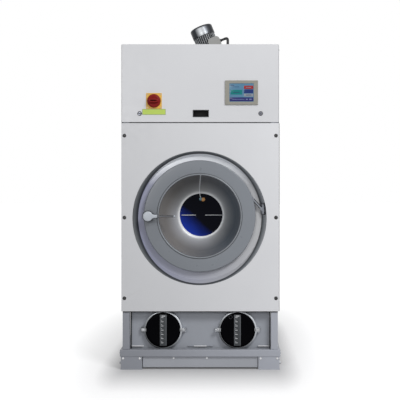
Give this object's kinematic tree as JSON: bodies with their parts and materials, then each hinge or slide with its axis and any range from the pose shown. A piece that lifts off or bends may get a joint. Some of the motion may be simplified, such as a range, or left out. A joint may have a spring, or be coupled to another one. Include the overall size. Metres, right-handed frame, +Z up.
{
  "type": "dry cleaning machine",
  "caption": "Front-loading dry cleaning machine: cabinet with round door, cleaning drum, hinged control hatch, solvent tanks with round covers and a fan motor on top.",
  "frame": {"origin": "on the floor, under the middle of the whole machine's box", "axes": "+X to the right seen from the front, +Y from the front to the back, +Z up"},
  "size_m": [0.995, 1.58, 2.2663],
  "materials": {
    "base_paint": "blue-grey paint, satin",
    "panel_paint": "pale grey powder coat, satin",
    "surround_paint": "light blue-grey paint, satin",
    "door_paint": "mid grey paint, satin",
    "funnel_steel": "polished steel, dark",
    "drum_steel": "polished steel",
    "ring_steel": "polished steel",
    "zinc_steel": "zinc plated",
    "cast_pulley": "machined cast iron",
    "motor_paint": "blue paint on cast iron",
    "tank_steel": "grey paint",
    "pump_paint": "green paint on cast iron",
    "black_paint": "black paint",
    "duct_steel": "galvanised sheet",
    "motor_alloy": "cast alloy",
    "cowl_steel": "dark gloss paint",
    "box_alloy": "cast alloy, matt",
    "black_plastic": "black plastic",
    "black_rubber": "black rubber",
    "brass_fitting": "plain brass",
    "bezel_plastic": "warm grey plastic",
    "display_glass": "lit display",
    "yellow_plastic": "yellow plastic",
    "red_plastic": "red plastic",
    "green_plastic": "yellow-green plastic",
    "sight_glass": "dark blue glass",
    "clear_plastic": "grey translucent plastic"
  },
  "bodies": {
    "cabinet": {"base_frame": "base_paint", "feet": "base_paint", "kick_plate": "base_paint", "base_bolts": "zinc_steel", "body_frame": "base_paint", "left_side_panel": "panel_paint", "right_side_panel": "panel_paint", "rear_panel": "panel_paint", "top_panel": "panel_paint", "lower_front_panel": "panel_paint", "panel_screws": "black_paint", "door_surround": "surround_paint", "door_hinge_bracket": "zinc_steel", "outer_drum": "drum_steel", "bearing_housing": "zinc_steel", "drive_motor": "motor_paint", "drive_belt": "black_rubber", "recess_panel": "base_paint", "solvent_tanks": "tank_steel", "cover_necks": "ring_steel", "solvent_pump": "pump_paint", "solvent_filter": "tank_steel", "still": "tank_steel", "compressor": "black_paint", "air_duct": "duct_steel", "fan_housing": "duct_steel", "fan_motor_body": "motor_alloy", "fan_cowl": "cowl_steel", "terminal_box": "box_alloy", "motor_conduit": "black_plastic", "conduit_glands": "black_plastic", "control_box": "duct_steel", "rear_connections": "brass_fitting", "panel_hinge": "ring_steel"},
    "hatch": {"upper_front_panel": "panel_paint", "pull_recess": "black_plastic", "screen_bezel": "bezel_plastic", "screen_display": "display_glass", "switch_plate": "yellow_plastic", "label_plate": "green_plastic"},
    "main_switch": {"switch_knob": "red_plastic"},
    "left_lock": {"lock_left": "zinc_steel"},
    "right_lock": {"lock_right": "zinc_steel"},
    "door": {"door_disc": "door_paint", "door_funnel": "funnel_steel", "door_gasket": "black_rubber", "door_glass": "sight_glass", "door_hinge_arm": "door_paint"},
    "handle": {"door_handle": "door_paint"},
    "drum": {"drum_cage": "drum_steel", "drum_shaft": "zinc_steel", "drum_pulley": "cast_pulley"},
    "motor_shaft": {"motor_pulley": "cast_pulley"},
    "fan": {"fan_impeller": "duct_steel"},
    "left_cover": {"tank_lid_left": "black_plastic", "level_window_left": "clear_plastic"},
    "right_cover": {"tank_lid_right": "black_plastic", "level_window_right": "clear_plastic"},
    "left_knob": {"cover_knob_left": "zinc_steel"},
    "right_knob": {"cover_knob_right": "zinc_steel"}
  },
  "joints": [
    {"name": "hatch_hinge", "type": "hinge", "parent": "cabinet", "child": "hatch", "pos_m": [0, -0.72, 2], "axis": [-1, 0, 0], "range_deg": [0, 85]},
    {"name": "main_switch_turn", "type": "hinge", "parent": "hatch", "child": "main_switch", "pos_m": [-0.284, -0.77, 1.651], "axis": [0, 1, 0], "range_deg": [0, 90]},
    {"name": "left_lock_turn", "type": "hinge", "parent": "hatch", "child": "left_lock", "pos_m": [-0.372, -0.75, 1.574], "axis": [0, 1, 0], "range_deg": [0, 90]},
    {"name": "right_lock_turn", "type": "hinge", "parent": "hatch", "child": "right_lock", "pos_m": [0.372, -0.75, 1.574], "axis": [0, -1, 0], "range_deg": [0, 90]},
    {"name": "door_hinge", "type": "hinge", "parent": "cabinet", "child": "door", "pos_m": [0.388, -0.725, 0.987], "axis": [0, 0, 1], "range_deg": [0, 100]},
    {"name": "door_handle_turn", "type": "hinge", "parent": "door", "child": "handle", "pos_m": [-0.3185, -0.77, 0.943], "axis": [0, 1, 0], "range_deg": [0, 45]},
    {"name": "drum_spin", "type": "hinge", "parent": "cabinet", "child": "drum", "pos_m": [-0.004, -0.35, 0.943], "axis": [0, 1, 0], "continuous": true},
    {"name": "motor_spin", "type": "hinge", "parent": "cabinet", "child": "motor_shaft", "pos_m": [-0.25, 0.1103, 0.48], "axis": [0, 1, 0], "continuous": true},
    {"name": "fan_spin", "type": "hinge", "parent": "cabinet", "child": "fan", "pos_m": [0, -0.05, 2.178], "axis": [-0.3746, 0, 0.9272], "continuous": true},
    {"name": "left_cover_hinge", "type": "hinge", "parent": "cabinet", "child": "left_cover", "pos_m": [-0.362, -0.711, 0.238], "axis": [0, 0, -1], "range_deg": [0, 100]},
    {"name": "right_cover_hinge", "type": "hinge", "parent": "cabinet", "child": "right_cover", "pos_m": [0.362, -0.711, 0.238], "axis": [0, 0, 1], "range_deg": [0, 100]},
    {"name": "left_knob_turn", "type": "hinge", "parent": "left_cover", "child": "left_knob", "pos_m": [-0.1, -0.73, 0.238], "axis": [0, 1, 0], "range_deg": [0, 90]},
    {"name": "right_knob_turn", "type": "hinge", "parent": "right_cover", "child": "right_knob", "pos_m": [0.1, -0.73, 0.238], "axis": [0, 1, 0], "range_deg": [0, 90]}
  ],
  "couplings": [
    {"joint": "motor_spin", "follows": "drum_spin", "ratio": 4.6}
  ]
}
